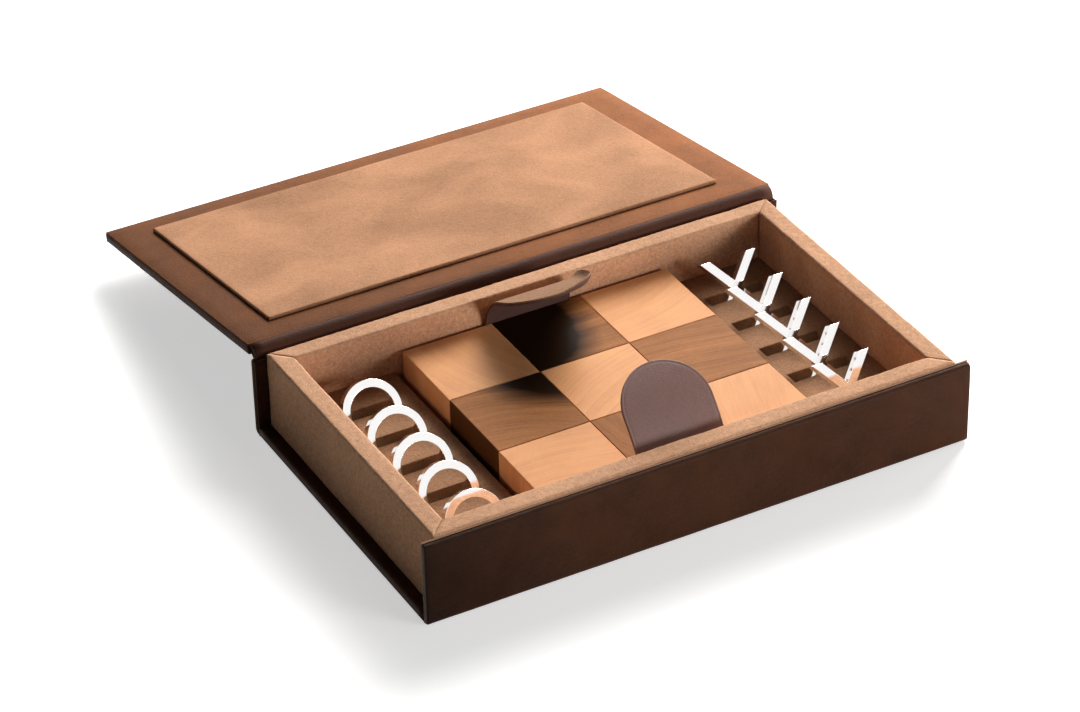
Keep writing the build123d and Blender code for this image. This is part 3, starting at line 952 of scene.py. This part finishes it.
class CASE_OT_tabs(bpy.types.Operator):
    """Build the two pull tabs, each of leather and suede with a rounded end"""

    bl_idname = "case.tabs"
    bl_label = "Pull tabs"

    def execute(self, context):
        nap = suede("tab_suede", shade(colours().tray_suede, 0.45))
        # Radius in millimetres and angle in degrees of each bend above the board, then the length that
        # stays straight past the last one
        shapes = {"front": (((4.0, 27.0), (77.6, 33.0)), 3.0), "rear": (((24.0, 64.0),), 30.0)}
        # Share of the tabs' colour and the gloss of each one's leather: the rear one's darker colour is
        # painted shade
        skins = {"front": (1.0, 0.4), "rear": (0.5, 0.1)}
        for name, (bends, end) in shapes.items():
            tone, gloss = skins[name]
            skin = leather(f"{name}_tab_skin", shade(colours().tab_leather, tone), 0.5, gloss,
                           creases=0.05, clouds=0.2, cell=0.7 * MM)
            self.tab(name, bends, end, skin, nap)
        return {"FINISHED"}

    def line(self, side, foot, top, bends, end):
        """Points of the tab's middle line in Y and Z, with their outward normals and lengths."""
        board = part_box("walnut_rear_centre")[1].y
        offset = sizes().suede_thickness if side < 0 else sizes().leather_thickness
        y = side * (board + offset)
        points = [(Vector((y, foot)), 0.0)]
        points.append((Vector((y, top)), 0.0))
        heading = 0.0
        here = Vector((y, top))
        for radius, angle in bends:
            steps = max(6, round(angle / 2))
            bend = radius * MM + offset
            for _ in range(steps):
                part = math.radians(angle) / steps
                chord = 2 * bend * math.sin(part / 2)
                heading += part / 2
                here = here + Vector((-side * math.sin(heading), math.cos(heading))) * chord
                heading += part / 2
                points.append((here.copy(), heading))
        here = here + Vector((-side * math.sin(heading), math.cos(heading))) * end * MM
        points.append((here, heading))
        return points

    def tab(self, name, bends, end, skin, nap):
        """Both plies of one tab, glued to the board's face and bent over it."""
        low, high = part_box(f"{name}_tab_leather")
        side = -1 if name == "front" else 1
        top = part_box("walnut_rear_centre")[1].z
        points = self.line(side, low.z, top, bends, end)
        lengths = [0.0]
        for (before, _), (after, _) in zip(points, points[1:]):
            lengths.append(lengths[-1] + (after - before).length)
        middle = (low.x + high.x) / 2
        half = (high.x - low.x) / 2

        def at(across, along, out):
            """Point of the tab by its place across, its length up and its height off the middle line."""
            along = min(max(along, 0.0), lengths[-1])
            index = next(i for i in range(1, len(lengths)) if along <= lengths[i] + 1e-12)
            share = (along - lengths[index - 1]) / (lengths[index] - lengths[index - 1])
            spot = points[index - 1][0].lerp(points[index][0], share)
            turn = points[index - 1][1] + (points[index][1] - points[index - 1][1]) * share
            away = Vector((side * math.cos(turn), math.sin(turn)))
            lip, sag = self.curl(across, along, half, lengths[-1]) if side > 0 else (0, 0)
            spot = spot + away * (out + lip)
            return Vector((middle + across, spot.x, spot.y - sag))

        leather_skin, suede_skin = sizes().leather_thickness, sizes().suede_thickness
        leather_out = (0.0, leather_skin) if side < 0 else (-leather_skin, 0.0)
        suede_out = (-suede_skin, 0.0) if side < 0 else (0.0, suede_skin)
        for kind, (near, far), material, slot in (
            ("leather", leather_out, skin, "tab_leather"), ("suede", suede_out, nap, "tab_suede")
        ):
            piece = self.ply(f"{name}_tab_{kind}_piece", at, lengths[-1], half, near, far, side, kind,
                             material)
            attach(piece, "playing_board")
            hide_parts(f"{name}_tab_{kind}")
            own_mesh(piece)

    def curl(self, across, along, half, length):
        """How far the rear tab's right edge curls up, and how far its free end sags below a plain bend."""
        def smooth(low, high, value):
            share = min(max((value - low) / (high - low), 0.0), 1.0)
            return share * share * (3 - 2 * share)
        start = length - half
        inset = half - (math.hypot(across, along - start) if along > start else abs(across))
        right = smooth(-0.3, 0.8, across / half) * smooth(0.35, 0.7, along / length)
        lip = 3.4 * MM * right * max(0.0, 1 - inset / (5 * MM)) ** 2
        return lip, 2.6 * MM * smooth(0.08, 0.5, along / length)

    def ply(self, name, at, length, half, near, far, side, kind, material):
        """One ply as rings of its outline, from the middle of one face out, round the edge and back."""
        edge = 0.25 * MM
        insets = [half * share for share in (1, 0.8, 0.6, 0.4, 0.25)]
        insets += [inset * MM for inset in (3.0, 1.9, 1.5, 1.2, 0.9, 0.6)] + [edge]
        crease = {1.5 * MM: 0.4, 1.2 * MM: 1.0, 0.9 * MM: 0.4}
        shown = far if (kind == "leather") == (side < 0) else near
        rings = []
        for face in (far, near):
            inward = -1 if face == far else 1
            ring_set = []
            for inset in insets:
                dip = crease.get(inset, 0) * 0.12 * MM if kind == "leather" and face == shown else 0
                ring_set.append((inset, face + inward * dip))
            for step in range(1, 4):
                angle = math.radians(30 * step)
                ring_set.append((edge * (1 - math.sin(angle)), face + inward * edge * (1 - math.cos(angle))))
            rings.append(ring_set)
        profile = rings[0] + rings[1][::-1]
        start = length - half
        rows = []
        for inset, out in profile:
            reach = half - inset
            row = [at(-reach, start * index / 24, out) for index in range(24)]
            for index in range(49):
                turn = math.pi * index / 48
                row.append(at(-reach * math.cos(turn), start + reach * math.sin(turn), out))
            row += [at(reach, start * (24 - index) / 24, out) for index in range(1, 25)]
            rows.append(row)
        obj = loft(name, rows, material)
        mesh = bmesh.new()
        mesh.from_mesh(obj.data)
        bmesh.ops.holes_fill(mesh, edges=mesh.edges, sides=0)
        bmesh.ops.recalc_face_normals(mesh, faces=mesh.faces)
        mesh.to_mesh(obj.data)
        mesh.free()
        return obj


class CASE_OT_rings(bpy.types.Operator):
    """Build the five polished rings, leaning in their slots"""

    bl_idname = "case.rings"
    bl_label = "Rings"

    def execute(self, context):
        material = metal("mirror_metal", colours().metal)
        for joint in frame["joints"]:
            if joint["child"].startswith("ring_"):
                self.ring(joint, material)
        return {"FINISHED"}

    def ring(self, joint, material):
        """Rounded rectangle section swept round the ring's own circle."""
        node = joint["child"]
        low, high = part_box(node)
        matrix = turned_plane((low + high) / 2, (1, 0, 0), joint["axis"])
        lean = Vector(joint["axis"])
        outer = (high.x - low.x) / 2
        thickness = ((high.z - low.z) - 2 * outer * lean.z) / lean.y
        band = 4.15 * MM
        inner = outer - band
        half = thickness / 2
        corners = ((inner, -half), (outer, -half), (outer, half), (inner, half))
        edge = sizes().metal_edge
        section = []
        for index, (x, y) in enumerate(corners):
            centre = Vector((x + (edge if index in (0, 3) else -edge), y + (edge if index < 2 else -edge)))
            for step in range(4):
                angle = math.radians(180 + 90 * index + 30 * step)
                section.append(centre + Vector((math.cos(angle), math.sin(angle))) * edge)
        count = 128
        rows = []
        for index in range(count + 1):
            east, north = math.cos(2 * math.pi * index / count), math.sin(2 * math.pi * index / count)
            rows.append([Vector((point.x * east, point.x * north, point.y)) for point in section])
        obj = loft(f"{node}_piece", rows, material, closed=True)
        obj.data.transform(matrix)
        hold_flat(obj, 0.5 * MM * MM)
        settle(obj, node, "polished_metal", node)


def hold_flat(obj, least):
    """Keep broad faces flat, so that only their rounded edges turn the light."""
    mesh = obj.data
    sums = [Vector((0, 0, 0)) for _ in mesh.vertices]
    for polygon in mesh.polygons:
        if polygon.area > least:
            for index in polygon.vertices:
                sums[index] += polygon.normal
    normals = [total.normalized() if total.length > 0.5 else vertex.normal.copy()
               for total, vertex in zip(sums, mesh.vertices)]
    mesh.normals_split_custom_set_from_vertices(normals)


class CASE_OT_crosses(bpy.types.Operator):
    """Build the five polished crosses, leaning in their slots"""

    bl_idname = "case.crosses"
    bl_label = "Crosses"

    def execute(self, context):
        material = bpy.data.materials["mirror_metal"]
        for joint in frame["joints"]:
            if joint["child"].startswith("cross_"):
                self.cross(joint, material)
        return {"FINISHED"}

    def cross(self, joint, material):
        """Two crossed bars in one outline, extruded and rounded at its edges."""
        node = joint["child"]
        low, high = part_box(node)
        lean = Vector(joint["axis"])
        matrix = turned_plane((low + high) / 2, (1, 0, 0), joint["axis"])
        half = (high.x - low.x) / 2
        thickness = ((high.z - low.z) - 2 * half * lean.z) / lean.y
        cut = 5.8 * MM
        notch = cut / 2
        crotch = half * cut / (2 * half - cut)
        upper = [(-half, half), (cut - half, half), (0, crotch), (half - cut, half), (half, half), (notch, 0)]
        outline = upper + [(-x, -y) for x, y in upper]
        mesh = bmesh.new()
        corners = [mesh.verts.new((x, y, -thickness / 2)) for x, y in outline]
        face = mesh.faces.new(corners)
        grown = bmesh.ops.extrude_face_region(mesh, geom=[face])
        raised = [item for item in grown["geom"] if isinstance(item, bmesh.types.BMVert)]
        bmesh.ops.translate(mesh, verts=raised, vec=(0, 0, thickness))
        bmesh.ops.recalc_face_normals(mesh, faces=mesh.faces)
        bmesh.ops.bevel(mesh, geom=mesh.edges[:], offset=sizes().metal_edge, segments=3, profile=0.5,
                        affect="EDGES")
        obj = mesh_object(f"{node}_piece", closed_edit(node, mesh), material)
        obj.data.transform(matrix)
        hold_flat(obj, 5 * MM * MM)
        settle(obj, node, "polished_metal", node)


class CASE_OT_stage(bpy.types.Operator):
    """Set the pale floor, the soft lights and the camera"""

    bl_idname = "case.stage"
    bl_label = "Stage"

    def execute(self, context):
        self.floor()
        self.lights()
        self.world()
        self.camera()
        context.scene.view_settings.view_transform = "Standard"
        return {"FINISHED"}

    def split(self, tree, lit, seen, output):
        """Light the case with one shader, and show the other to the camera, in mirrors and through glass."""
        ray = put(tree, "ShaderNodeLightPath")
        direct = combine(tree, "MAXIMUM", ray.outputs["Is Camera Ray"], ray.outputs["Is Glossy Ray"])
        direct = combine(tree, "MAXIMUM", direct, ray.outputs["Is Transmission Ray"])
        either = put(tree, "ShaderNodeMixShader", Fac=direct)
        tree.links.new(lit.outputs[0], either.inputs[1])
        tree.links.new(seen.outputs[0], either.inputs[2])
        tree.links.new(either.outputs[0], put(tree, output).inputs["Surface"])

    def floor(self):
        """Wide pale floor, lifted to white where it is seen and matte where it lights the case."""
        mesh = bmesh.new()
        bmesh.ops.create_grid(mesh, x_segments=2, y_segments=2, size=4.0)
        material = bpy.data.materials.new("pale_floor")
        material.use_nodes = True
        tree = material.node_tree
        tree.nodes.clear()
        matte = put(tree, "ShaderNodeBsdfDiffuse", Color=(*shade(colours().floor, 0.85), 1))
        seen = put(tree, "ShaderNodeBsdfDiffuse", Color=(*colours().floor, 1))
        lift = put(tree, "ShaderNodeEmission", Color=(1, 1, 1, 1), Strength=0.55)
        bright = put(tree, "ShaderNodeAddShader")
        tree.links.new(seen.outputs[0], bright.inputs[0])
        tree.links.new(lift.outputs[0], bright.inputs[1])
        self.split(tree, matte, bright, "ShaderNodeOutputMaterial")
        obj = mesh_object("pale_floor", closed_edit("pale_floor", mesh), material)
        obj.location.z = -0.2 * MM

    def lights(self):
        """Five soft boxes aimed at the case: each has its place and size in metres and its power in watts."""
        for name, spot, size, power in (
            ("key_softbox", (1.36, 1.25, 1.24), (1.2, 1.0), 73.0),
            ("rear_softbox", (0.85, 1.88, 0.85), (1.5, 1.0), 32.0),
            ("front_fill", (1.25, -1.75, 0.34), (1.0, 0.6), 35.0),
            ("right_fill", (2.17, 0.02, 0.41), (1.0, 0.8), 15.0),
            ("left_fill", (-2.17, 0.02, 0.41), (1.0, 0.8), 0.6),
        ):
            data = bpy.data.lights.new(name, "AREA")
            data.shape = "RECTANGLE"
            data.size, data.size_y = size
            data.energy = power
            obj = bpy.data.objects.new(name, data)
            bpy.context.scene.collection.objects.link(obj)
            obj.location = spot
            obj.rotation_euler = (-Vector(spot)).to_track_quat("-Z", "Y").to_euler()

    def world(self):
        """White surround, seen plainly but hardly lighting the case."""
        world = bpy.data.worlds.new("studio")
        bpy.context.scene.world = world
        world.use_nodes = True
        tree = world.node_tree
        tree.nodes.clear()
        soft = put(tree, "ShaderNodeBackground", Color=(1, 1, 1, 1), Strength=0.02)
        white = put(tree, "ShaderNodeBackground", Color=(1, 1, 1, 1), Strength=1.0)
        self.split(tree, soft, white, "ShaderNodeOutputWorld")

    def camera(self):
        """Camera of the photograph: low telephoto from the front left, turned a little about its own axis."""
        azimuth, elevation, roll = (math.radians(angle) for angle in (-27.94, 33.52, -1.43))
        target = Vector((-28.0, 18.9, 46.3)) * MM
        distance = 2035 * MM
        back = Vector((math.sin(azimuth) * math.cos(elevation), -math.cos(azimuth) * math.cos(elevation),
                       math.sin(elevation)))
        right = Vector((math.cos(azimuth), math.sin(azimuth), 0))
        up = back.cross(right)
        turned_right = right * math.cos(roll) + up * math.sin(roll)
        turned_up = up * math.cos(roll) - right * math.sin(roll)
        data = bpy.data.cameras.new("camera")
        data.sensor_width = 36.0
        data.lens = 139.9
        obj = bpy.data.objects.new("camera", data)
        bpy.context.scene.collection.objects.link(obj)
        matrix = Matrix((turned_right, turned_up, back)).transposed().to_4x4()
        matrix.translation = target + back * distance
        obj.matrix_world = matrix
        bpy.context.scene.camera = obj


class CASE_PT_panel(bpy.types.Panel):
    """Lists the pieces of the case in build order"""

    bl_idname = "CASE_PT_panel"
    bl_label = "Game case"
    bl_space_type = "VIEW_3D"
    bl_region_type = "UI"
    bl_category = "Game case"

    def draw(self, context):
        for group in (context.scene.case_colours, context.scene.case_sizes):
            box = self.layout.box()
            for key in group.__annotations__:
                box.prop(group, key)
        for step in STEPS:
            self.layout.operator(step.bl_idname)


STEPS = (CASE_OT_stage, CASE_OT_covers, CASE_OT_tray, CASE_OT_inserts, CASE_OT_lid, CASE_OT_hinge,
         CASE_OT_board, CASE_OT_tabs, CASE_OT_rings, CASE_OT_crosses)
CLASSES = (CaseColours, CaseSizes, *STEPS, CASE_PT_panel)


def register():
    for item in CLASSES:
        bpy.utils.register_class(item)
    bpy.types.Scene.case_colours = PointerProperty(type=CaseColours)
    bpy.types.Scene.case_sizes = PointerProperty(type=CaseSizes)


def unregister():
    del bpy.types.Scene.case_sizes
    del bpy.types.Scene.case_colours
    for item in reversed(CLASSES):
        bpy.utils.unregister_class(item)


def main():
    register()
    bpy.ops.case.stage()
    bpy.ops.case.covers()
    bpy.ops.case.tray()
    bpy.ops.case.inserts()
    bpy.ops.case.lid()
    bpy.ops.case.hinge()
    bpy.ops.case.board()
    bpy.ops.case.tabs()
    bpy.ops.case.rings()
    bpy.ops.case.crosses()


if __name__ == "__main__":
    main()
